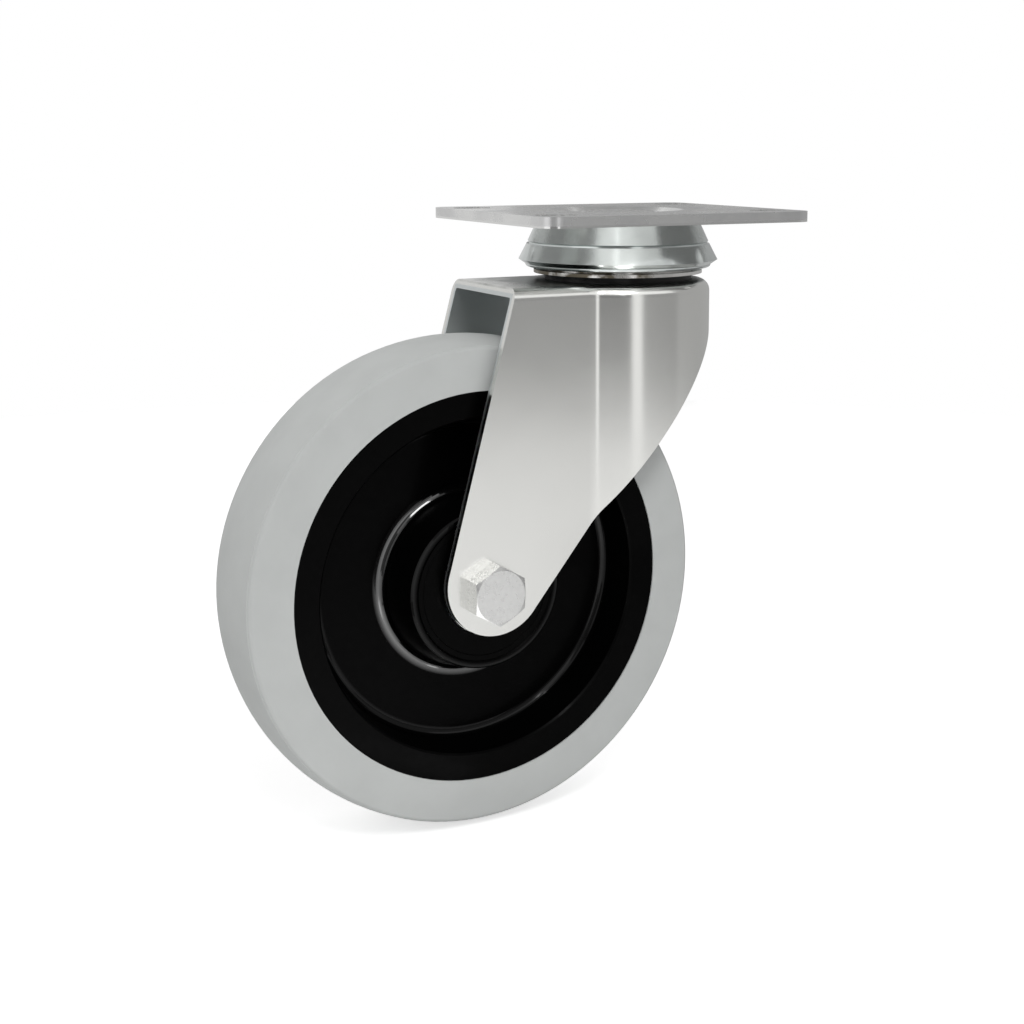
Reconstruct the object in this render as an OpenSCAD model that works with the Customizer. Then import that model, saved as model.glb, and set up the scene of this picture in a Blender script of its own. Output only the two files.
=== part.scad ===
// Swivel castor with a bolt-on top plate, a pressed fork and a wheel on ball bearings.
// Lengths are in millimetres. The origin is the centre of the plate's upper face, +Z is up,
// and the wheel trails towards -X with its axle along Y.

/* [Top plate] */
// Length of the top plate, along the direction of travel
plate_length = 100; // [95:1:140]
// Width of the top plate, across the direction of travel
plate_width = 85; // [80:1:120]
// Thickness of the plate's sheet
plate_thickness = 3.5; // [2.5:0.5:5]
// Radius of the plate's corners
plate_corner_radius = 6; // [2:1:12]
// Distance from the plate's ends to the middles of the fixing slots
slot_end_distance = 10; // [9:0.5:12]
// Distance from the plate's sides to the middles of the fixing slots
slot_side_distance = 12.5; // [8:0.5:14]
// Width of a fixing slot
slot_width = 9; // [6:0.5:10]
// Length of a fixing slot from end to end
slot_length = 13; // [12:0.5:16]
// Radius at the rim of the pressed dish round the king bolt
dish_radius = 22; // [20:0.5:23]
// Depth of the pressed dish
dish_depth = 3; // [2:0.25:4]
// How far the dish's wall slopes in from rim to floor
dish_slope = 4; // [3:0.5:6]

/* [Swivel head] */
// Diameter of the upper row's balls
upper_ball_diameter = 6.5; // [5:0.25:7]
// Radius of the circle on which the upper balls run
upper_ball_circle = 20; // [18.5:0.25:20.5]
// Number of upper balls
upper_ball_count = 18; // [8:1:18]
// Diameter of the lower row's balls
lower_ball_diameter = 6; // [5:0.25:6.5]
// Radius of the circle on which the lower balls run
lower_ball_circle = 15; // [14:0.25:16]
// Number of lower balls
lower_ball_count = 14; // [6:1:14]
// Depth of a ball track
track_depth = 1.2; // [0.8:0.1:1.5]
// Free space between a ball and its track
track_clearance = 0.05; // [0.03:0.01:0.1]
// Thickness of the upper race
upper_race_thickness = 4; // [3:0.25:5]
// Height of the race cup that stands on the fork
fork_race_height = 8.4; // [8:0.1:11]
// Thickness of the race cup's wall
fork_race_wall = 3.5; // [3:0.25:4]
// Radius of the race cup's rolled flange
flange_radius = 28.4; // [27.5:0.1:29]
// Thickness of the rolled flange
flange_thickness = 1.1; // [0.9:0.1:2]
// Gap between the flange and the top of the fork
flange_gap = 2; // [1:0.1:2.5]
// Thickness of the lower race
lower_race_thickness = 3.5; // [3:0.25:5]
// Thickness of the lower race's upturned lip
lip_thickness = 1.3; // [1:0.1:2]
// Radius of the cover where it meets the plate
cover_top_radius = 27.2; // [27:0.1:28]
// Radius of the cover at the step half-way down
cover_step_radius = 30.4; // [29.5:0.1:31]
// Width of the step
cover_step = 0.4; // [0.2:0.1:0.8]
// Radius of the cover at its widest
cover_radius = 33.5; // [32.5:0.1:36]
// Thickness of the cover's sheet
cover_thickness = 2; // [1.5:0.1:2.3]
// Gap between the cover's lower edge and the top of the fork
cover_gap = 4; // [3.8:0.1:5]

/* [King bolt] */
// Diameter of the king bolt
king_diameter = 12; // [10:1:14]
// Diameter of the king bolt's flat head
king_head_diameter = 26; // [22:1:28]
// Thickness of the king bolt's flat head
king_head_thickness = 2.4; // [1.5:0.1:2.6]
// Width of the king nut across its flats
king_nut_flats = 19; // [18:1:24]
// Height of the king nut
king_nut_height = 10; // [8:0.5:12]
// Thickness of the washer above the king nut
king_washer_thickness = 2.5; // [1.5:0.25:3]

/* [Fork] */
// Thickness of the fork's sheet
fork_sheet = 3; // [2.5:0.25:3.5]
// Outside radius of the bend between the web and the walls
bend_radius = 4; // [4:0.25:6]
// Outside radius of the rounded part round the swivel head
head_radius = 31; // [30.5:0.25:34]
// Radius of the hollow curve between the rounded part and each leg
waist_radius = 8; // [6:0.5:10]
// Distance from the swivel axis to the front of the web
web_reach = 50; // [46:1:55]
// Height of the wall at the very back of the fork
back_height = 10.8; // [9:0.2:16]
// Radius of the legs' round ends
leg_end_radius = 17; // [15:0.5:19]
// How far the centre of a leg's round end lies behind the axle
leg_end_back = 1.5; // [0:0.25:2]
// How far the centre of a leg's round end lies above the axle
leg_end_up = 2.5; // [0:0.25:3]
// Horizontal distance from the swivel axis to the axle
trail = 59; // [50:1:65]

/* [Wheel] */
// Diameter of the wheel
wheel_diameter = 160; // [150:1:175]
// Width of the tyre
tyre_width = 34; // [30:1:40]
// Height of the tyre's side, from the core to the tread
tyre_height = 16.3; // [12:0.1:20]
// How much lower the tread is at its shoulders than in the middle
tread_crown = 2.2; // [1:0.1:3]
// How much narrower the tread is than the tyre, on each side
shoulder_inset = 0.8; // [0.4:0.1:1.5]
// Radius of the tread's shoulders
shoulder_radius = 1.5; // [0.5:0.1:2.5]
// How far the core's face lies inside the tyre's side
core_face_inset = 0.5; // [0:0.1:1]
// Width of the black rim's flat face
rim_face = 8.8; // [6:0.1:12]
// How far the rim's inner wall slopes in from face to web
rim_draft = 2; // [1:0.25:4]
// Thickness of the core's web
web_thickness = 6; // [4:0.5:10]
// Depth to which the tyre grips over the rim
tyre_grip = 2.5; // [1:0.25:4]
// Wall of the hub round a bearing, at its end
hub_wall = 2.6; // [2:0.1:4]
// How much wider the hub is at the web than at its end
hub_draft = 3; // [1:0.25:5]
// Radius of the hollow curve at the foot of the hub
hub_fillet = 3; // [1:0.25:4]
// Free space between the tyre and the web above it
wheel_top_clearance = 13; // [13:0.5:25]
// Free space between the tyre and each leg
wheel_side_clearance = 3; // [2:0.25:5]

/* [Bearings] */
// Outside diameter of a bearing
bearing_outer = 47; // [44:1:50]
// Bore of a bearing
bearing_bore = 20; // [18:1:22]
// Width of a bearing
bearing_width = 14; // [12:0.5:14]
// Diameter of a bearing's balls
bearing_ball_diameter = 7.9; // [6:0.1:8]
// Number of balls in each bearing
bearing_ball_count = 8; // [5:1:8]
// Thickness of a bearing ring at its shoulders
ring_thickness = 4.3; // [4:0.1:4.5]
// Radial thickness of the ball cage
cage_thickness = 2.2; // [1.5:0.1:2.4]
// Thickness of a bearing shield
shield_thickness = 0.8; // [0.5:0.1:1]
// Depth of a shield below the bearing's face
shield_depth = 0.5; // [0.3:0.1:0.8]
// Thickness of the washers between the bearings and the legs
hub_washer_thickness = 3; // [2.5:0.1:4]
// Free space between the end of the hub and the leg
hub_clearance = 1.2; // [1:0.1:1.4]
// Thickness of the caps that cover the bearings
cap_thickness = 1.5; // [1:0.1:1.6]

/* [Axle] */
// Diameter of the axle bolt
axle_diameter = 10; // [8:1:12]
// Width of the axle bolt's head and nut across their flats
axle_flats = 17; // [16:1:20]
// Height of the axle bolt's head
axle_head_height = 6.4; // [5:0.1:8]
// Height of the axle nut
axle_nut_height = 10; // [9:0.5:12]
// Height of the nylon ring in the axle nut
insert_height = 2.3; // [1.5:0.1:3]
// Thickness of the washer under the axle nut
axle_washer_thickness = 2; // [1:0.25:3]
// Length of bolt that shows past its nut
bolt_end = 3; // [2:0.5:6]

/* [Clearances] */
// Free space round a bolt in its hole
bolt_clearance = 0.15; // [0.1:0.05:0.4]
// Free space between pieces that turn past each other
turning_gap = 0.4; // [0.3:0.05:0.6]
// Free space between round pieces that are fitted together and stay put
seat_clearance = 0.02; // [0.01:0.01:0.05]

/* [Hidden] */

$fn = 96;
// Overlap of cutting shapes past the faces that they cut
past = 1;
zinc = "silver";
bright_steel = "gainsboro";
nylon_black = [0.06, 0.06, 0.06];
tyre_grey = [0.74, 0.75, 0.74];

// Places of the fixing slots, counted from the plate's middle
slot_x = plate_length / 2 - slot_end_distance;
slot_y = plate_width / 2 - slot_side_distance;

// Heights in the swivel head, from the plate's upper face down
plate_under = -plate_thickness;
dish_floor = -dish_depth;
dish_under = dish_floor - plate_thickness;
upper_race_under = dish_under - upper_race_thickness;
upper_ball_radius = upper_ball_diameter / 2;
upper_ball_drop = upper_ball_radius - track_depth;
upper_ball_height = upper_race_under - upper_ball_drop;
fork_race_top = upper_ball_height - upper_ball_drop;
fork_top = fork_race_top - fork_race_height;
web_under = fork_top - fork_sheet;
lower_ball_radius = lower_ball_diameter / 2;
lower_ball_drop = lower_ball_radius - track_depth;
lower_ball_height = web_under - lower_ball_drop;
lower_race_top = lower_ball_height - lower_ball_drop;
lower_race_under = lower_race_top - lower_race_thickness;
king_nut_top = lower_race_under - king_washer_thickness;
king_end = king_nut_top - king_nut_height - bolt_end;

// Radii in the swivel head
king_radius = king_diameter / 2;
king_hole = king_radius + bolt_clearance;
king_nut_radius = king_nut_flats / 2 / cos(30);
// Land of plain metal left on either side of a ball track
track_land = 1.6;
race_inside = upper_ball_circle - upper_ball_radius - track_land;
race_outside = upper_ball_circle + upper_ball_radius + track_land;
web_hole = king_radius + 3;
lower_race_outside = lower_ball_circle + lower_ball_radius + track_clearance
    + turning_gap + lip_thickness;
lip_top = web_under - turning_gap;

// The wheel, its axle and the space between the fork's legs
wheel_radius = wheel_diameter / 2;
axle_height = web_under - wheel_top_clearance - wheel_radius;
tyre_half = tyre_width / 2;
leg_inside = tyre_half + wheel_side_clearance;
leg_outside = leg_inside + fork_sheet;
axle_radius = axle_diameter / 2;
axle_hole = axle_radius + bolt_clearance;
bolt_corner = axle_flats / 2 / cos(30);
core_radius = wheel_radius - tyre_height;
core_half = tyre_half - core_face_inset;
bearing_face = leg_inside - hub_washer_thickness;
hub_half = leg_inside - hub_clearance;
bearing_back = bearing_face - bearing_width;
bearing_middle = bearing_face - bearing_width / 2;
bearing_seat = bearing_outer / 2;
bearing_bore_radius = bearing_bore / 2;
bearing_ball_circle = (bearing_seat + bearing_bore_radius) / 2;
bearing_ball_radius = bearing_ball_diameter / 2;
inner_shoulder = bearing_bore_radius + ring_thickness;
outer_shoulder = bearing_seat - ring_thickness;

// The fork seen from above: the centre of each hollow waist curve and its angle
waist_y = leg_outside + waist_radius;
waist_x = -sqrt(pow(head_radius + waist_radius, 2) - pow(waist_y, 2));
waist_angle = atan2(waist_y, -waist_x);

// The fork seen from the side: the round leg ends and the lines that touch them
leg_end_x = -trail + leg_end_back;
leg_end_z = axle_height + leg_end_up;

// Point where the line from p touches the circle of radius r round c, on side s (1 or -1)
function touch_point(p, c, r, s) =
    let (d = norm(c - p), a = atan2(p[1] - c[1], p[0] - c[0]) + s * acos(r / d))
    c + r * [cos(a), sin(a)];

// Points along an arc round c, from one angle to another
function arc(c, r, from, to, steps) =
    [for (i = [0:steps]) let (a = from + i * (to - from) / steps) c + r * [cos(a), sin(a)]];

// A half section's points, followed by their mirror images in reverse order
function with_mirror(points) =
    concat(points, [for (i = [len(points) - 1:-1:0]) [points[i][0], -points[i][1]]]);

// Places a shape made round Z on the wheel's axle, with its Z along Y
module on_axle() {
    translate([-trail, 0, axle_height]) rotate([-90, 0, 0]) children();
}

// Two copies of a shape, one on each side of the wheel's middle
module both_sides() {
    children();
    mirror([0, 0, 1]) children();
}

// Ring between two radii and two heights
module ring(inner, outer, low, high) {
    translate([0, 0, low]) difference() {
        cylinder(r = outer, h = high - low);
        translate([0, 0, -past]) cylinder(r = inner, h = high - low + 2 * past);
    }
}

// Round groove in which balls run
module ball_track(circle_radius, height, ball_radius) {
    translate([0, 0, height]) rotate_extrude() translate([circle_radius, 0])
        circle(r = ball_radius + track_clearance);
}

// Balls spaced evenly on a circle
module ball_row(circle_radius, height, ball_radius, count) {
    for (i = [0:count - 1]) rotate([0, 0, i * 360 / count])
        translate([circle_radius, 0, height]) sphere(r = ball_radius, $fn = 48);
}

// Hexagon with its corners bevelled at the ends named by the two switches
bevel_inset = 0.15;
bevel_angle = 22;
module hexagon_block(flats, height, bevel_low, bevel_high) {
    corner = flats / 2 / cos(30);
    bevel_radius = flats / 2 - bevel_inset;
    // A shallow cone takes off the corners
    fall = (corner - bevel_radius) * tan(bevel_angle);
    low = bevel_low ? fall : 0;
    high = bevel_high ? fall : 0;
    intersection() {
        rotate([0, 0, 90]) cylinder(r = corner, h = height, $fn = 6);
        rotate_extrude() polygon([
            [0, 0],
            [bevel_low ? bevel_radius : corner + past, 0],
            [corner + (bevel_low ? 0 : past), low],
            [corner + (bevel_high ? 0 : past), height - high],
            [bevel_high ? bevel_radius : corner + past, height],
            [0, height]
        ]);
    }
}

// Flat outline of the plate, with round corners
module plate_outline() {
    side_x = plate_length / 2 - plate_corner_radius;
    side_y = plate_width / 2 - plate_corner_radius;
    square([plate_length, 2 * side_y], center = true);
    square([2 * side_x, plate_width], center = true);
    for (x = [-side_x, side_x], y = [-side_y, side_y])
        translate([x, y]) circle(r = plate_corner_radius);
}

module fixing_slot() {
    reach = (slot_length - slot_width) / 2;
    square([2 * reach, slot_width], center = true);
    for (x = [-reach, reach]) translate([x, 0]) circle(r = slot_width / 2);
}

module top_plate() color(zinc) {
    translate([0, 0, plate_under]) linear_extrude(plate_thickness) difference() {
        plate_outline();
        circle(r = dish_radius);
        for (x = [-slot_x, slot_x], y = [-slot_y, slot_y])
            translate([x, y]) fixing_slot();
    }
    // The dish is one pressing with the plate: rim, sloping wall and floor
    rotate_extrude() polygon([
        [king_hole, dish_floor],
        [dish_radius - dish_slope, dish_floor],
        [dish_radius, 0],
        [dish_radius + past, 0],
        [dish_radius + past, plate_under],
        [dish_radius, plate_under],
        [dish_radius - dish_slope, dish_under],
        [king_hole, dish_under]
    ]);
}

// The flared cover hangs from the plate and shades the ball races
lip_turn_in = 2.2;
lip_slope_height = 1.5;
cover_step_rise = 1.3;
groove_height = 0.9;
module head_cover() color(zinc) {
    low = fork_top + cover_gap;
    lip = cover_thickness / 2;
    widest = low + lip + lip_slope_height;
    step_height = (plate_under + widest) / 2 - cover_step_rise;
    step_inside = cover_step_radius + cover_step - cover_thickness;
    // The lower edge is rolled in to a round lip
    lip_centre = [cover_radius - lip_turn_in - lip, low + lip];
    rotate_extrude() polygon(concat(
        [
            [cover_top_radius - cover_thickness, plate_under],
            [cover_top_radius, plate_under],
            [cover_step_radius, step_height + groove_height],
            [cover_step_radius - cover_step, step_height + groove_height / 2],
            [cover_step_radius - cover_step, step_height],
            [cover_step_radius + cover_step, step_height],
            [cover_radius, widest]
        ],
        arc(lip_centre, lip, 0, -180, 10),
        [
            [cover_radius - cover_thickness, widest],
            [step_inside, step_height],
            [cover_step_radius - cover_thickness, step_height + groove_height]
        ]
    ));
}

module upper_race() color(bright_steel) difference() {
    ring(king_hole, race_outside, upper_race_under, dish_under);
    ball_track(upper_ball_circle, upper_ball_height, upper_ball_radius);
}

module upper_balls() color(bright_steel)
    ball_row(upper_ball_circle, upper_ball_height, upper_ball_radius, upper_ball_count);

// Pressed cup that stands on the fork, with the track for the upper balls on its top
module fork_race() color(zinc) difference() {
    union() {
        ring(race_inside, race_outside, fork_race_top - fork_race_wall, fork_race_top);
        ring(race_outside - fork_race_wall, race_outside, fork_top, fork_race_top);
        ring(race_outside - fork_race_wall, flange_radius,
            fork_top + flange_gap, fork_top + flange_gap + flange_thickness);
    }
    ball_track(upper_ball_circle, upper_ball_height, upper_ball_radius);
}

// Section through the fork's sheet at its edge: a wall, the bend, and a strip of the web
// that reaches past the bend by the overlap. It starts at the outer face and goes inwards.
// The set-in makes the sheet that much thinner on both faces.
web_strip = 3;
module wall_section(set_in) {
    bend_height = fork_top - bend_radius;
    wall_low = leg_end_z - leg_end_radius - past;
    translate([set_in, wall_low]) square([fork_sheet - 2 * set_in, bend_height - wall_low]);
    intersection() {
        translate([bend_radius, bend_height]) difference() {
            circle(r = bend_radius - set_in);
            circle(r = bend_radius - fork_sheet + set_in);
        }
        translate([0, bend_height]) square(bend_radius);
    }
    translate([bend_radius, web_under + set_in]) square([web_strip, fork_sheet - 2 * set_in]);
}

// The fork seen from the side: web, slanting front and back edges, round leg ends.
// The edges run just inside the round end, so that they meet it cleanly.
edge_set_in = 0.05;
module fork_side_outline() {
    leg_end = [leg_end_x, leg_end_z];
    touch_radius = leg_end_radius - edge_set_in;
    front_top = [-web_reach, fork_top];
    back_low = [head_radius, fork_top - back_height];
    polygon([
        front_top + [0, past],
        front_top,
        touch_point(front_top, leg_end, touch_radius, 1),
        leg_end,
        touch_point(back_low, leg_end, touch_radius, -1),
        back_low,
        back_low + [past, 0],
        [head_radius + past, fork_top + past]
    ]);
    translate(leg_end) circle(r = leg_end_radius);
}

// The sheet swept round the swivel head, the two waists and the two legs. Each waist is
// a hair thinner and runs a little way into the head and the leg, so that all join solidly.
joint_set_in = 0.02;
joint_overlap = 0.3;
module fork_sheet_body() {
    head_turn = 180 - waist_angle;
    rotate([0, 0, -head_turn]) rotate_extrude(angle = 2 * head_turn)
        translate([head_radius, 0]) mirror([1, 0]) wall_section(0);
    leg_length = trail + leg_end_radius + past + waist_x;
    extra_turn = atan2(joint_overlap, waist_radius);
    for (side = [0, 1]) mirror([0, side, 0]) {
        translate([waist_x, waist_y, 0]) rotate([0, 0, -90 - extra_turn])
            rotate_extrude(angle = 90 - waist_angle + 2 * extra_turn)
                translate([waist_radius, 0]) wall_section(joint_set_in);
        translate([waist_x - leg_length, 0, 0]) rotate([90, 0, 90])
            linear_extrude(leg_length)
                translate([leg_outside, 0]) mirror([1, 0]) wall_section(0);
    }
    // The flat web fills the middle
    web_inset = bend_radius + 1;
    translate([0, 0, web_under]) linear_extrude(fork_sheet) {
        circle(r = head_radius - web_inset);
        translate([-leg_length, web_inset - leg_outside])
            square([leg_length, 2 * (leg_outside - web_inset)]);
    }
}

module fork() color(zinc) difference() {
    intersection() {
        fork_sheet_body();
        translate([0, head_radius + past, 0]) rotate([90, 0, 0])
            linear_extrude(2 * (head_radius + past)) fork_side_outline();
    }
    translate([0, 0, web_under - past]) cylinder(r = web_hole, h = fork_sheet + 2 * past);
    ball_track(lower_ball_circle, lower_ball_height, lower_ball_radius);
    on_axle() cylinder(r = axle_hole, h = 2 * (leg_outside + past), center = true);
}

module lower_balls() color(bright_steel)
    ball_row(lower_ball_circle, lower_ball_height, lower_ball_radius, lower_ball_count);

module lower_race() color(zinc) difference() {
    union() {
        ring(king_hole, lower_race_outside, lower_race_under, lower_race_top);
        ring(lower_race_outside - lip_thickness, lower_race_outside,
            lower_race_under, lip_top);
    }
    ball_track(lower_ball_circle, lower_ball_height, lower_ball_radius);
}

// A thin cone finishes each bolt end and the king bolt's head
tip = 1;
module king_bolt() color(zinc) {
    head_radius_top = king_head_diameter / 2 - tip;
    translate([0, 0, dish_floor]) {
        cylinder(r = king_head_diameter / 2, h = king_head_thickness - tip);
        translate([0, 0, king_head_thickness - tip])
            cylinder(r1 = king_head_diameter / 2, r2 = head_radius_top, h = tip);
    }
    translate([0, 0, king_end + tip])
        cylinder(r = king_radius, h = dish_floor + tip - king_end - tip);
    translate([0, 0, king_end]) cylinder(r1 = king_radius - tip, r2 = king_radius, h = tip);
}

module king_washer() color(zinc)
    ring(king_hole, king_nut_radius, king_nut_top, lower_race_under);

module king_nut() color(zinc) translate([0, 0, king_nut_top - king_nut_height]) difference() {
    hexagon_block(king_nut_flats, king_nut_height, true, true);
    translate([0, 0, -past])
        cylinder(r = king_radius + seat_clearance, h = king_nut_height + 2 * past);
}

module axle_bolt() color(zinc) on_axle() {
    nut_end = leg_outside + axle_washer_thickness + axle_nut_height + bolt_end;
    translate([0, 0, -leg_outside - axle_head_height])
        hexagon_block(axle_flats, axle_head_height, true, false);
    translate([0, 0, -leg_outside - tip]) cylinder(r = axle_radius, h = nut_end + leg_outside);
    translate([0, 0, nut_end - tip]) cylinder(r1 = axle_radius, r2 = axle_radius - tip, h = tip);
}

module axle_washer() color(zinc) on_axle()
    ring(axle_hole, bolt_corner + tip, leg_outside, leg_outside + axle_washer_thickness);

// The nut's round collar holds the nylon ring that grips the bolt
collar_wall = 1;
collar_height = insert_height + collar_wall;
collar_radius = axle_flats / 2 - collar_wall / 2;
insert_radius = collar_radius - collar_wall;
module axle_nut() color(zinc) on_axle()
    translate([0, 0, leg_outside + axle_washer_thickness]) difference() {
        union() {
            hexagon_block(axle_flats, axle_nut_height - collar_height, true, true);
            cylinder(r = collar_radius, h = axle_nut_height);
        }
        translate([0, 0, -past])
            cylinder(r = axle_radius + seat_clearance, h = axle_nut_height + 2 * past);
        translate([0, 0, axle_nut_height - collar_height])
            cylinder(r = insert_radius, h = insert_height);
    }

module nut_insert() color("white") on_axle()
    translate([0, 0, leg_outside + axle_washer_thickness + axle_nut_height - collar_height])
        ring(axle_radius + seat_clearance, insert_radius - seat_clearance, 0, insert_height);

module axle_sleeve() color(bright_steel) on_axle()
    ring(axle_hole, bearing_bore_radius - seat_clearance, -leg_inside, leg_inside);

module hub_washers() color(zinc) on_axle() both_sides()
    ring(bearing_bore_radius, inner_shoulder, bearing_face, leg_inside);

module bearing_inner_rings() color(bright_steel) on_axle() both_sides() difference() {
    ring(bearing_bore_radius, inner_shoulder, bearing_back, bearing_face);
    ball_track(bearing_ball_circle, bearing_middle, bearing_ball_radius);
}

module bearing_spacer() color(zinc) on_axle()
    ring(bearing_bore_radius, inner_shoulder, -bearing_back, bearing_back);

module bearing_balls() color(bright_steel) on_axle() both_sides()
    ball_row(bearing_ball_circle, bearing_middle, bearing_ball_radius, bearing_ball_count);

// Each cage is a ring with a round pocket for every ball
cage_rim = 0.6;
module bearing_cages() color("goldenrod") on_axle() both_sides() difference() {
    cage_half = bearing_ball_radius + cage_rim;
    cage_inside = bearing_ball_circle - cage_thickness / 2;
    ring(cage_inside, cage_inside + cage_thickness,
        bearing_middle - cage_half, bearing_middle + cage_half);
    for (i = [0:bearing_ball_count - 1]) rotate([0, 0, i * 360 / bearing_ball_count])
        translate([cage_inside - past, 0, bearing_middle]) rotate([0, 90, 0])
            cylinder(r = bearing_ball_radius + 2 * track_clearance,
                h = cage_thickness + 2 * past);
}

module bearing_outer_rings() color(bright_steel) on_axle() both_sides() difference() {
    ring(outer_shoulder, bearing_seat, bearing_back, bearing_face);
    ball_track(bearing_ball_circle, bearing_middle, bearing_ball_radius);
}

module bearing_shields() color("dimgray") on_axle() both_sides()
    for (low = [bearing_face - shield_depth - shield_thickness, bearing_back + shield_depth])
        ring(inner_shoulder + turning_gap, outer_shoulder - seat_clearance,
            low, low + shield_thickness);

// Black caps close the hub. Each presses on its bearing's outer ring and is free of the rest.
cap_rim = 1.6;
cap_dish = 0.3;
module hub_caps() color(nylon_black) on_axle() both_sides() rotate_extrude() {
    cap_face = bearing_face + cap_thickness;
    cap_bore = inner_shoulder + turning_gap;
    polygon([
        [outer_shoulder, bearing_face],
        [bearing_seat, bearing_face],
        [bearing_seat, cap_face],
        [bearing_seat - cap_rim, cap_face],
        [bearing_seat - cap_rim - cap_dish, cap_face - cap_dish],
        [cap_bore, cap_face - cap_dish],
        [cap_bore, bearing_face + turning_gap],
        [outer_shoulder, bearing_face + turning_gap]
    ]);
}

// Half of the core's section, from the middle of the wheel to one face and back
edge_break = 0.6;
shoulder_height = 2.5;
web_half = web_thickness / 2;
seat_radius = bearing_seat + seat_clearance;
hub_end = bearing_seat + hub_wall;
hub_foot = hub_end + hub_draft;
rim_lip = core_radius - rim_face;
rim_foot = rim_lip - rim_draft;
grip_radius = core_radius + tyre_grip;
grip_half = core_half - tyre_grip;
// How far each recess wall leans from upright, and how far its foot curve reaches out
hub_lean = atan2(hub_draft, hub_half - edge_break - web_half);
rim_lean = atan2(rim_draft, core_half - edge_break - web_half);
hub_reach = hub_fillet / tan((90 + hub_lean) / 2);
rim_reach = hub_fillet / tan((90 + rim_lean) / 2);
core_half_section = concat(
    [
        [bearing_seat - shoulder_height, bearing_back],
        [seat_radius, bearing_back],
        [seat_radius, hub_half - edge_break],
        [seat_radius + edge_break, hub_half],
        [hub_end - edge_break, hub_half],
        [hub_end, hub_half - edge_break]
    ],
    arc([hub_foot + hub_reach, web_half + hub_fillet], hub_fillet, 180 + hub_lean, 270, 8),
    arc([rim_foot - rim_reach, web_half + hub_fillet], hub_fillet, 270, 360 - rim_lean, 8),
    [
        [rim_lip, core_half - edge_break],
        [rim_lip + edge_break, core_half],
        [core_radius, core_half],
        [grip_radius, grip_half]
    ]
);

module wheel_core() color(nylon_black) on_axle()
    rotate_extrude() polygon(with_mirror(core_half_section));

// Half of the tyre's section under its tread: grip, side and round shoulder
tread_half = tyre_half - shoulder_inset;
shoulder_top = wheel_radius - tread_crown;
tyre_half_section = concat(
    [
        [grip_radius, grip_half],
        [core_radius, core_half],
        [core_radius, tyre_half]
    ],
    arc([shoulder_top - shoulder_radius, tread_half - shoulder_radius],
        shoulder_radius, 90, 15, 6),
    [[wheel_radius + past, tread_half - shoulder_radius - past]]
);

// The crowned tread is the arc through the middle of the tread and both shoulders
crown_half = tread_half - shoulder_radius / 2;
crown_radius = (pow(crown_half, 2) + pow(tread_crown, 2)) / (2 * tread_crown);
module tyre() color(tyre_grey) on_axle() rotate_extrude() intersection() {
    polygon(with_mirror(tyre_half_section));
    translate([wheel_radius - crown_radius, 0]) circle(r = crown_radius);
}

top_plate();
head_cover();
upper_race();
upper_balls();
fork_race();
fork();
lower_balls();
lower_race();
king_bolt();
king_washer();
king_nut();
axle_bolt();
axle_washer();
axle_nut();
nut_insert();
axle_sleeve();
hub_washers();
bearing_inner_rings();
bearing_spacer();
bearing_balls();
bearing_cages();
bearing_outer_rings();
bearing_shields();
hub_caps();
wheel_core();
tyre();
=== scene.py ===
# %% [markdown]
# # A swivel castor, seen as in a catalogue photo
#
# The castor's pieces come from CAD and are loaded as a fixed frame. In this lesson each of
# them gets the finish of the real one, and a table, grey cards, two lamps and a camera are
# set up round it. Lengths are in metres. The castor swivels about the upright line at
# x = y = 0, and its plate's upper face is at z = 0.

# %% Load the frame
import math

import bpy
from mathutils import Matrix, Vector

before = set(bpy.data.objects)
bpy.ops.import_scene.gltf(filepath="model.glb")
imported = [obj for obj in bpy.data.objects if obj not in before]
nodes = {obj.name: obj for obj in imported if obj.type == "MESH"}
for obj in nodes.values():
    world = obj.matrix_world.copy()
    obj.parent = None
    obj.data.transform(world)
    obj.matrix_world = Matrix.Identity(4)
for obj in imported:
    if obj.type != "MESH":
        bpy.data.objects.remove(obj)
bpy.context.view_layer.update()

# %% [markdown]
# ## A small language for shaders
#
# A finish is a graph of nodes. It could be drawn by hand, but a mask such as "inside the
# fork and under its web" soon takes twenty Math nodes. The class below wraps one output
# socket of a node. With it, `mask * 0.5 + 0.1` adds the Math nodes for us, and `1 - mask`
# turns a mask round.

# %% The socket class
class Socket:
    """One output of a node. Arithmetic on it adds Math nodes to the same tree."""

    def __init__(self, tree, socket):
        self.tree, self.socket = tree, socket

    def math(self, operation, *others):
        """A Math node on this value and the others."""
        return math_node(self.tree, operation, self, *others)

    def __add__(self, other):
        return self.math("ADD", other)

    def __sub__(self, other):
        return self.math("SUBTRACT", other)

    def __rsub__(self, other):
        return math_node(self.tree, "SUBTRACT", other, self)

    def __mul__(self, other):
        return self.math("MULTIPLY", other)

    __radd__, __rmul__ = __add__, __mul__

    def clamp(self):
        """The same value, kept between 0 and 1."""
        return self.math("MAXIMUM", 0.0).math("MINIMUM", 1.0)

    def ramp(self, start, slope):
        """A mask: 0 up to the start, then rising to 1. A slope below 0 turns it round."""
        return ((self - start) * slope).clamp()

    def beside(self, name):
        """Another output of the same node."""
        return Socket(self.tree, self.socket.node.outputs[name])


print("the socket class is ready")

# %% [markdown]
# One function adds the nodes. It sets a node's own settings first, because they decide
# which sockets it has, and then fills those sockets.

# %% Nodes and materials
def plug(tree, value, slot):
    """Links a socket into a slot, or writes a plain value there."""
    if isinstance(value, Socket):
        tree.links.new(value.socket, slot)
    else:
        slot.default_value = value


def node(tree, kind, values, output=0, **settings):
    """Adds a node and gives one of its outputs. The values go by input name or number."""
    made = tree.nodes.new(kind)
    for name, value in settings.items():
        setattr(made, name, value)
    for name, value in values.items():
        plug(tree, value, made.inputs[name])
    return Socket(tree, made.outputs[output])


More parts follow.
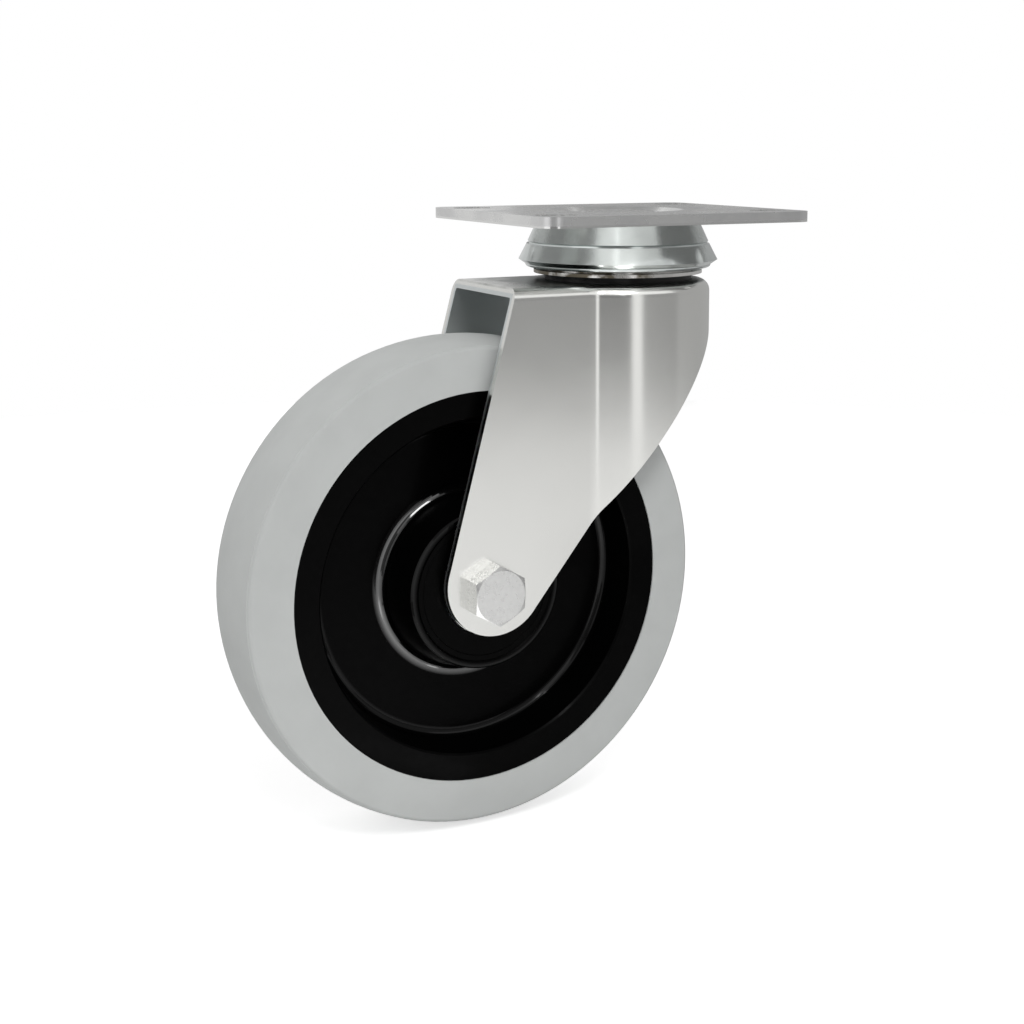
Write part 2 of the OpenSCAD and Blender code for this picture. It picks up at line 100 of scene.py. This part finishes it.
def math_node(tree, operation, *values):
    """A Math node on sockets, plain numbers or both."""
    return node(tree, "ShaderNodeMath", dict(enumerate(values)), operation=operation)


def material(name, color, roughness, metallic=0.0, **values):
    """A material with one shader. Returns it with its tree and that shader."""
    made = bpy.data.materials.new(name)
    made.use_nodes = True
    tree = made.node_tree
    shader = next(n for n in tree.nodes if n.type == "BSDF_PRINCIPLED")
    shader.inputs["Base Color"].default_value = (*color, 1.0)
    shader.inputs["Roughness"].default_value = roughness
    shader.inputs["Metallic"].default_value = metallic
    for key, value in values.items():
        shader.inputs[key.replace("_", " ")].default_value = value
    return made, tree, shader


print("one function for nodes and one for materials")

# %% [markdown]
# Where a finish changes, it goes by the object coordinates of the piece, so that it stays
# on the metal when the castor turns. A painted image could do the same, but it would have
# to be unwrapped and would blur close up. For the irregular parts there is a noise. Most of
# its values lie between 0.3 and 0.7, so a ramp is what makes clear patches of it.

# %% Places and patterns
def split_place(tree):
    """The object coordinates x, y and z of a point."""
    place = node(tree, "ShaderNodeTexCoord", {}, "Object")
    x = node(tree, "ShaderNodeSeparateXYZ", {0: place}, "X")
    return x, x.beside("Y"), x.beside("Z")


def distance(first, second):
    """How far a point is from an axis, by its two coordinates across that axis."""
    return (first * first + second * second).math("SQRT")


def grain(tree, scale, detail=3.0):
    """A noise between 0 and 1, finer where the scale is larger."""
    place = node(tree, "ShaderNodeTexCoord", {}, "Object")
    return node(tree, "ShaderNodeTexNoise", {"Vector": place, "Scale": scale, "Detail": detail})


def waver(tree, shader, scale, depth):
    """A very low bump that bends what the surface mirrors."""
    bump = node(tree, "ShaderNodeBump", {"Height": grain(tree, scale, 1.0), "Strength": 1.0,
                                         "Distance": depth})
    plug(tree, bump, shader.inputs["Normal"])


# A Mix node has sockets for every kind of data. These are its colours, by number.
FIRST_COLOR, SECOND_COLOR, MIXED_COLOR = 6, 7, 2


def mix_colors(tree, mask, first, second):
    """The first colour where the mask is 0 and the second where it is 1."""
    first, second = (c if isinstance(c, Socket) else (*c, 1.0) for c in (first, second))
    return node(tree, "ShaderNodeMix", {0: mask, FIRST_COLOR: first, SECOND_COLOR: second},
                MIXED_COLOR, data_type="RGBA")


print("patterns: place, distance, grain, waver and mixed colours")

# %% [markdown]
# ## The metals
#
# Bright zinc plating mirrors softly. One colour and one roughness all over would look like
# a drawing, so a noise varies both a little, and a low bump makes what it mirrors waver, as
# on a pressed sheet. The bolts are duller than the sheets, and their noise is finer.

# %% Plated metals
ROUGHNESS_SPREAD = 0.05


def plated(name, color, roughness, scale, depth, clouds=0.88):
    """Zinc or steel. Its darkest clouds have the colour times the value of clouds."""
    made, tree, shader = material(name, color, roughness, 1.0)
    cloud = grain(tree, scale)
    plug(tree, cloud * ROUGHNESS_SPREAD + (roughness - ROUGHNESS_SPREAD / 2),
         shader.inputs["Roughness"])
    darker = [clouds * part for part in color]
    plug(tree, mix_colors(tree, cloud.ramp(0.4, 4.0), color, darker),
         shader.inputs["Base Color"])
    waver(tree, shader, scale, depth)
    return made


cover_zinc = plated("cover_zinc", (0.70, 0.735, 0.725), 0.16, scale=90.0, depth=0.00002)
bearing_steel = plated("bearing_steel", (0.75, 0.76, 0.77), 0.18, scale=200.0, depth=0.00001)
bolt_zinc = plated("bolt_zinc", (0.72, 0.72, 0.71), 0.27, scale=700.0, depth=0.000006,
                   clouds=0.95)
print("plated:", cover_zinc.name, bearing_steel.name, bolt_zinc.name)

# %% [markdown]
# The plate's top and edges are duller than its underside and the floor of its dish, and a
# noise gives them darker streaks. The CAD's mesh isn't cut up for that: a mask tells by
# height what lies above the dish's floor.

# %% Plate
# The slope of a sharp mask, which goes from 0 to 1 within a third of a millimetre
SHARP = 3000.0
DISH_FLOOR = -0.0030
PLAIN_TOP = (0.82, 0.82, 0.81)
STREAKED_TOP = (0.68, 0.68, 0.68)

plate_zinc, tree, shader = material("plate_zinc", (0.80, 0.80, 0.79), 0.15, 1.0)
_, _, z = split_place(tree)
on_top = z.ramp(DISH_FLOOR, SHARP)
streaks = grain(tree, 55.0, 6.0).ramp(0.42, 5.0) * on_top
plug(tree, mix_colors(tree, streaks, PLAIN_TOP, STREAKED_TOP), shader.inputs["Base Color"])
plug(tree, 0.13 + grain(tree, 60.0) * 0.05 + on_top * 0.10 + streaks * 0.06,
     shader.inputs["Roughness"])
waver(tree, shader, 90.0, 0.00003)
print("plate:", len(tree.nodes), "nodes")

# %% [markdown]
# The fork is bright outside. Inside it, where little light gets in, the zinc is rougher and
# its colour is darker with painted shade. Its top round the race is darkened too, with
# painted shade for the ring's shadow and a painted dark reflection of the plate's underside.
# Three masks find the inside: between the legs, in the round head, and under the web. Their
# limits lie within the thickness of the sheet, so that the change falls on a cut edge.

# %% Fork
BRIGHT = (0.80, 0.80, 0.775)
# Painted shade: the colour inside the fork, where little light gets in.
INSIDE_SHADE = (0.64, 0.67, 0.67)
# Painted shade and a painted dark reflection on the fork's top round the race.
TOP_SHADE_NEAR_RACE = (0.20, 0.215, 0.21)
WALL_OF_LEG = 0.0214
WALL_OF_HEAD = 0.0296
START_OF_HEAD = -0.0225
MIDDLE_OF_WEB = -0.0245
UNDER_TOP_FACE = -0.0238
REACH_OF_TOP_SHADE = 0.055

fork_zinc, tree, shader = material("fork_zinc", BRIGHT, 0.19, 1.0)
x, y, z = split_place(tree)
from_swivel = distance(x, y)
between_legs = y.math("ABSOLUTE").ramp(WALL_OF_LEG, -SHARP)
in_head = from_swivel.ramp(WALL_OF_HEAD, -SHARP)
at_head = x.ramp(START_OF_HEAD, SHARP)
under_web = z.ramp(MIDDLE_OF_WEB, -SHARP)
inside = (between_legs * (1 - at_head) + in_head * at_head) * under_web
# The painted shade round the race reaches this far from the swivel, with an edge made wobbly by
# a noise.
wobbly_radius = from_swivel + (grain(tree, 130.0, 4.0) - 0.5) * 0.02
shade_round_race = z.ramp(UNDER_TOP_FACE, SHARP) * wobbly_radius.ramp(REACH_OF_TOP_SHADE, -60.0)
plug(tree, mix_colors(tree, shade_round_race, mix_colors(tree, inside, BRIGHT, INSIDE_SHADE), TOP_SHADE_NEAR_RACE),
     shader.inputs["Base Color"])
plug(tree, 0.17 + grain(tree, 60.0) * 0.04 + inside * 0.2 + shade_round_race * 0.12,
     shader.inputs["Roughness"])
waver(tree, shader, 45.0, 0.00004)
print("fork:", len(tree.nodes), "nodes")

# %% [markdown]
# Old grease has turned brown on one side of the race ring. Such a film has no shape of its
# own, so it isn't modelled: it is a colour in the ring's own material. In the narrow gap
# between the ring's flange and the fork, the ring lies deep in shade, and a painted shadow
# makes it black and not metal there.

# %% Race ring with grease and painted shadow
RING = (0.78, 0.77, 0.75)
BROWN_GREASE = (0.09, 0.07, 0.035)
# Painted shadow: black in the gap under the flange, where the ring lies deep in shade.
GAP_SHADOW = (0.006, 0.006, 0.006)
FLANGE_UNDERSIDE = -0.0209
END_OF_GAP = -0.0236
GAP_SLOPE = 8000.0

race_zinc, tree, shader = material("race_zinc", RING, 0.2, 1.0)
x, y, z = split_place(tree)
gap = z.ramp(FLANGE_UNDERSIDE, -GAP_SLOPE) * z.ramp(END_OF_GAP, GAP_SLOPE)
greasy_side = (x * -0.93 + y * -0.37).ramp(1 / 120, 120.0)
blotches = grain(tree, 130.0, 5.0).ramp(0.42, 9.0) * greasy_side
browned = mix_colors(tree, blotches * 0.9, RING, BROWN_GREASE)
plug(tree, mix_colors(tree, gap, browned, GAP_SHADOW), shader.inputs["Base Color"])
plug(tree, 0.16 + blotches * 0.2 + grain(tree, 150.0) * 0.08 + gap * 0.3,
     shader.inputs["Roughness"])
plug(tree, 1 - gap, shader.inputs["Metallic"])
print("race ring:", len(tree.nodes), "nodes")

# %% [markdown]
# ## The plastics and the rubber
#
# The core is moulded in black nylon, so dark that only its polished curves show light: the
# foot of the hub, the foot of the rim and the edge of the hub's end. A clear coat does the
# shining, and its weight goes by the distance to the axle. So the light in it is a true
# reflection of the room, and only its place is given.

# %% Black core
AXLE_X, AXLE_Z = -0.059, -0.119
HUB_FOOT, RIM_FOOT, HUB_END = 0.0308, 0.0515, 0.0255


def near_radius(radius, middle, reach):
    """1 on a circle round the axle, falling to 0 at that reach from it."""
    return (radius - middle).math("ABSOLUTE").ramp(reach, -1 / reach)


black_nylon, tree, shader = material("black_nylon", (0.001, 0.001, 0.001), 0.3,
    Specular_IOR_Level=0.03, Coat_Roughness=0.08, Coat_IOR=2.2)
x, _, z = split_place(tree)
radius = distance(x - AXLE_X, z - AXLE_Z)
curves = (near_radius(radius, HUB_FOOT, 0.0020) + near_radius(radius, RIM_FOOT, 0.0016) * 0.17
          + near_radius(radius, HUB_END, 0.0012) * 0.14 + grain(tree, 500.0) * 0.01)
plug(tree, curves, shader.inputs["Coat Weight"])
print("core:", len(tree.nodes), "nodes")

# %% [markdown]
# The tyre is matt grey rubber, faintly cloudy, with a fine grain. The bearings' cages and
# the insert of the lock nut are nylon. All three differ in numbers only, so one function
# makes them. The clouds are wide and the grain is fine: both come from one scale.

# %% Tyre and small plastic pieces
def moulded(name, color, roughness, clouds, scale, depth):
    """A plastic or rubber whose colour wanders a little and whose skin has a fine grain."""
    made, tree, shader = material(name, color, roughness)
    darker = [clouds * part for part in color]
    cloud = grain(tree, scale / 12.0).ramp(0.35, 3.0)
    plug(tree, mix_colors(tree, cloud, color, darker), shader.inputs["Base Color"])
    plug(tree, grain(tree, scale / 4.0) * 0.1 + (roughness - 0.05), shader.inputs["Roughness"])
    waver(tree, shader, scale, depth)
    return made


grey_rubber = moulded("grey_rubber", (0.65, 0.668, 0.657), 0.75, 0.95, 900.0, 0.00002)
cage_nylon = moulded("cage_nylon", (0.45, 0.28, 0.08), 0.5, 0.85, 1500.0, 0.00001)
white_nylon = moulded("white_nylon", (0.8, 0.8, 0.77), 0.45, 0.93, 1500.0, 0.00001)
print("moulded:", grey_rubber.name, cage_nylon.name, white_nylon.name)

# %% [markdown]
# ## Give each piece its material
#
# A CAD piece keeps its shape, and only the material in its slot changes. Pieces of one
# finish share one material, so that a change of the bolts' zinc changes them all.

# %% Assign
LOOKS = {
    plate_zinc: ["top_plate"],
    fork_zinc: ["fork"],
    cover_zinc: ["head_cover"],
    race_zinc: ["fork_race"],
    bolt_zinc: ["king_bolt", "king_washer", "king_nut", "axle_bolt", "axle_washer",
                "axle_nut", "hub_washers", "bearing_spacer", "bearing_shields"],
    bearing_steel: ["upper_race", "lower_race", "upper_balls", "lower_balls", "axle_sleeve",
                    "bearing_inner_rings", "bearing_balls", "bearing_outer_rings"],
    black_nylon: ["wheel_core", "hub_caps"],
    grey_rubber: ["tyre"],
    cage_nylon: ["bearing_cages"],
    white_nylon: ["nut_insert"],
}
for look, names in LOOKS.items():
    for name in names:
        nodes[name].data.materials.clear()
        nodes[name].data.materials.append(look)
print("materials given to", sum(len(names) for names in LOOKS.values()), "pieces")

# %% [markdown]
# ## Table and room
#
# The castor stands on a round white table. The camera sees it glow, so that it clips to the
# white of the background where nothing shades it, and keeps the castor's shadow. Shiny
# surfaces see it glow less: most before the castor and near the wheel's foot, and hardly
# anywhere else. From below the table is clear, so that the castor's underside can be
# looked at too.

# %% Table
ROOM_MIDDLE = Vector((-0.05, 0.0))
ROOM_RADIUS = 0.87
FLOOR_HEIGHT = -0.1992
FOOT_GLOW_X, FOOT_GLOW_Y = -0.08, -0.07
GLOW_FOR_CAMERA, GLOW_MIRRORED, LEAST_GLOW = 0.62, 0.30, 0.02


def rays(tree):
    """Two masks: rays from the camera, and rays off shiny or through clear surfaces."""
    camera_ray = node(tree, "ShaderNodeLightPath", {}, "Is Camera Ray")
    glossy_ray = camera_ray.beside("Is Glossy Ray")
    clear_ray = camera_ray.beside("Is Transmission Ray")
    return camera_ray, (glossy_ray + clear_ray).clamp()


bpy.ops.mesh.primitive_circle_add(vertices=96, radius=ROOM_RADIUS, fill_type="NGON",
                                  location=(*ROOM_MIDDLE, FLOOR_HEIGHT))
floor = bpy.context.object
floor.name = "floor"
white_table, tree, shader = material("white_table", (0.82, 0.82, 0.82), 0.8,
                                     Emission_Strength=1.0)
seen, mirrored = rays(tree)
x, y, _ = split_place(tree)
before_castor = y.ramp(-0.05, -5.0)
near_foot = distance(x - FOOT_GLOW_X, y - FOOT_GLOW_Y).ramp(0.08, -20.0)
glow_mirrored = (before_castor + near_foot) * GLOW_MIRRORED + LEAST_GLOW
plug(tree, seen * GLOW_FOR_CAMERA + mirrored * glow_mirrored, shader.inputs["Emission Color"])
from_below = node(tree, "ShaderNodeNewGeometry", {}, "Backfacing")
clear = node(tree, "ShaderNodeBsdfTransparent", {})
surface = node(tree, "ShaderNodeMixShader",
               {0: from_below, 1: Socket(tree, shader.outputs[0]), 2: clear})
out = next(n for n in tree.nodes if n.type == "OUTPUT_MATERIAL")
plug(tree, surface, out.inputs["Surface"])
floor.data.materials.append(white_table)
print("table:", 2 * ROOM_RADIUS, "m across")

# %% [markdown]
# Grey cards stand on the table's rim, out of the camera's sight. Polished zinc has hardly
# a colour of its own: the greys on the fork are the greys of these cards. Between two of
# them, right of the camera, a gap lets in the white of the world, and the zinc shows it
# as a bright line. The cards beyond the castor are high, so that the plate's dish mirrors
# them too and not the white above.

# %% Cards on the rim
# A card bends round the rim in flat panels of about this many degrees
PANEL_ANGLE = 15
LOW_TOP, HIGH_TOP = 0.30, 0.75
NEAR_FLOOR = 0.06
WHITE = (1.0, 1.0, 1.0, 1.0)


def panel(name, brightness):
    """A glowing square, one metre wide, that the camera doesn't see."""
    title = "card_%g" % brightness
    glow = bpy.data.materials.get(title)
    if glow is None:
        glow, _, _ = material(title, (0.0, 0.0, 0.0), 1.0, Specular_IOR_Level=0.0,
                              Emission_Color=WHITE, Emission_Strength=brightness)
    bpy.ops.mesh.primitive_plane_add(size=1.0)
    made = bpy.context.object
    made.name = name
    made.data.materials.append(glow)
    made.visible_camera = False
    return made


def rim_card(name, start, end, low, high, brightness):
    """Panels side by side on the rim, from one azimuth to another, in degrees."""
    count = round((end - start) / PANEL_ANGLE)
    step = math.radians(end - start) / count
    for i in range(count):
        azimuth = math.radians(start) + (i + 0.5) * step
        made = panel("%s_%d" % (name, i + 1), brightness)
        made.rotation_euler = (math.pi / 2, 0.0, azimuth + math.pi / 2)
        made.location = (ROOM_MIDDLE.x + ROOM_RADIUS * math.cos(azimuth),
                         ROOM_MIDDLE.y + ROOM_RADIUS * math.sin(azimuth), (low + high) / 2)
        made.scale = (2 * ROOM_RADIUS * math.tan(step / 2), high - low, 1.0)


rim_card("right_card", -87, -40, FLOOR_HEIGHT, LOW_TOP, 0.33)
rim_card("far_right_card", -40, 30, FLOOR_HEIGHT, HIGH_TOP, 0.42)
rim_card("dark_card", -143, -100, FLOOR_HEIGHT, LOW_TOP, 0.22)
rim_card("far_dark_card", 52, 62.5, FLOOR_HEIGHT, NEAR_FLOOR, 0.15)
rim_card("far_card", 30, 62.5, NEAR_FLOOR, HIGH_TOP, 0.42)
rim_card("far_low_card", 30, 52, FLOOR_HEIGHT, NEAR_FLOOR, 0.40)
rim_card("left_card", 62.5, 130, FLOOR_HEIGHT, HIGH_TOP, 0.70)
rim_card("far_left_card", 130, 180, FLOOR_HEIGHT, LOW_TOP, 0.70)

# %% [markdown]
# Four more cards lie level, and only shiny surfaces see them: a grey ceiling, two on the
# table that give the cover its dark sides, and a narrow bright strip before the wheel.
# The strip draws the light arcs at the foot of the hub. A lamp could draw them too, but it
# would also light the tyre and the table.

# %% Level cards
CEILING_HEIGHT = 0.95
ON_TABLE = FLOOR_HEIGHT + 0.003
STRIP_HEIGHT = FLOOR_HEIGHT + 0.004


def level_card(name, brightness, middle, height, size, turn=0.0):
    """A level panel that only shiny surfaces see. Light passes through it."""
    made = panel(name + "_1", brightness)
    made.rotation_euler = (0.0, 0.0, math.radians(turn))
    made.location = (*middle, height)
    made.scale = (*size, 1.0)
    made.visible_diffuse = made.visible_shadow = False


level_card("ceiling_card", 0.4, ROOM_MIDDLE, CEILING_HEIGHT, (2 * ROOM_RADIUS, 2 * ROOM_RADIUS))
level_card("right_floor_card", 0.20, (0.35, -0.06), ON_TABLE, (0.46, 0.46))
level_card("left_floor_card", 0.33, (-0.42, 0.12), ON_TABLE, (0.46, 0.46))
level_card("foot_strip_card", 2.4, (-0.0875, -0.13), STRIP_HEIGHT, (0.177, 0.013), 65)

# %% [markdown]
# ## Light and background
#
# The background is plain white for the camera and for shiny surfaces, and a weaker, soft
# light for the rest. One white world for all rays would wash the castor out, so the rays
# are told apart.

# %% Background
SOFT_LIGHT, WHITE_WALL = 0.52, 1.0

world = bpy.data.worlds.new("studio")
bpy.context.scene.world = world
world.use_nodes = True
tree = world.node_tree
tree.nodes.clear()
soft_light = node(tree, "ShaderNodeBackground", {"Color": WHITE, "Strength": SOFT_LIGHT})
white_wall = node(tree, "ShaderNodeBackground", {"Color": WHITE, "Strength": WHITE_WALL})
seen, mirrored = rays(tree)
background = node(tree, "ShaderNodeMixShader",
                  {0: (seen + mirrored).clamp(), 1: soft_light, 2: white_wall})
out = tree.nodes.new("ShaderNodeOutputWorld")
plug(tree, background, out.inputs["Surface"])
print("background:", len(tree.nodes), "nodes")

# %% [markdown]
# One lamp like a soft box hangs above and behind the camera. A narrow spot brightens the
# table before the wheel, so that the castor's shadow stays as small as in the photo.

# %% Lamps
def lamp(name, kind, position, target, power, **settings):
    """A lamp at one place, aimed at another. The power is in watts."""
    data = bpy.data.lights.new(name, kind)
    data.energy = power
    for key, value in settings.items():
        setattr(data, key, value)
    made = bpy.data.objects.new(name, data)
    bpy.context.scene.collection.objects.link(made)
    made.location = position
    aim = Vector(target) - Vector(position)
    made.rotation_euler = aim.to_track_quat("-Z", "Y").to_euler()


lamp("soft_box", "AREA", (-0.30, -0.75, 0.70), (-0.05, 0.0, -0.08), 3.4, size=0.30)
lamp("table_spot", "SPOT", (-0.12, -0.24, 0.55), (-0.09, -0.15, FLOOR_HEIGHT), 14.0,
     spot_size=math.radians(20), spot_blend=0.8, shadow_soft_size=0.03)

# %% [markdown]
# ## The camera
#
# The camera was fitted to the photo's outlines. Its numbers are the width of the photo and
# the focal length in pixels, the pixel that the lens looks at, the turn, tilt and roll in
# degrees, and its place. The lens shift takes up that this pixel isn't the photo's middle.

# %% Camera
PIXELS = 1024
FOCAL_PIXELS = 1632.96
LENS_PIXEL = (570.0, 370.0)
TURN, TILT, ROLL = math.radians(29.01), math.radians(8.05), math.radians(0.13)
PLACE = (-0.28141, -0.47444, 0.02326)

lens = bpy.data.cameras.new("photo_camera")
camera = bpy.data.objects.new("photo_camera", lens)
bpy.context.scene.collection.objects.link(camera)
bpy.context.scene.camera = camera
lens.sensor_width = 36.0
lens.lens = FOCAL_PIXELS / PIXELS * lens.sensor_width
lens.shift_x = (PIXELS / 2 - LENS_PIXEL[0]) / PIXELS
lens.shift_y = (LENS_PIXEL[1] - PIXELS / 2) / PIXELS
ahead = Vector((math.sin(TURN) * math.cos(TILT), math.cos(TURN) * math.cos(TILT),
                -math.sin(TILT)))
camera.matrix_world = (Matrix.Translation(PLACE)
                       @ ahead.to_track_quat("-Z", "Y").to_matrix().to_4x4()
                       @ Matrix.Rotation(ROLL, 4, "Z"))
lens.clip_start, lens.clip_end = 0.01, 20.0
bpy.context.scene.view_settings.view_transform = "Standard"
print("camera: lens %.2f mm, shift %.4f, %.4f" % (lens.lens, lens.shift_x, lens.shift_y))
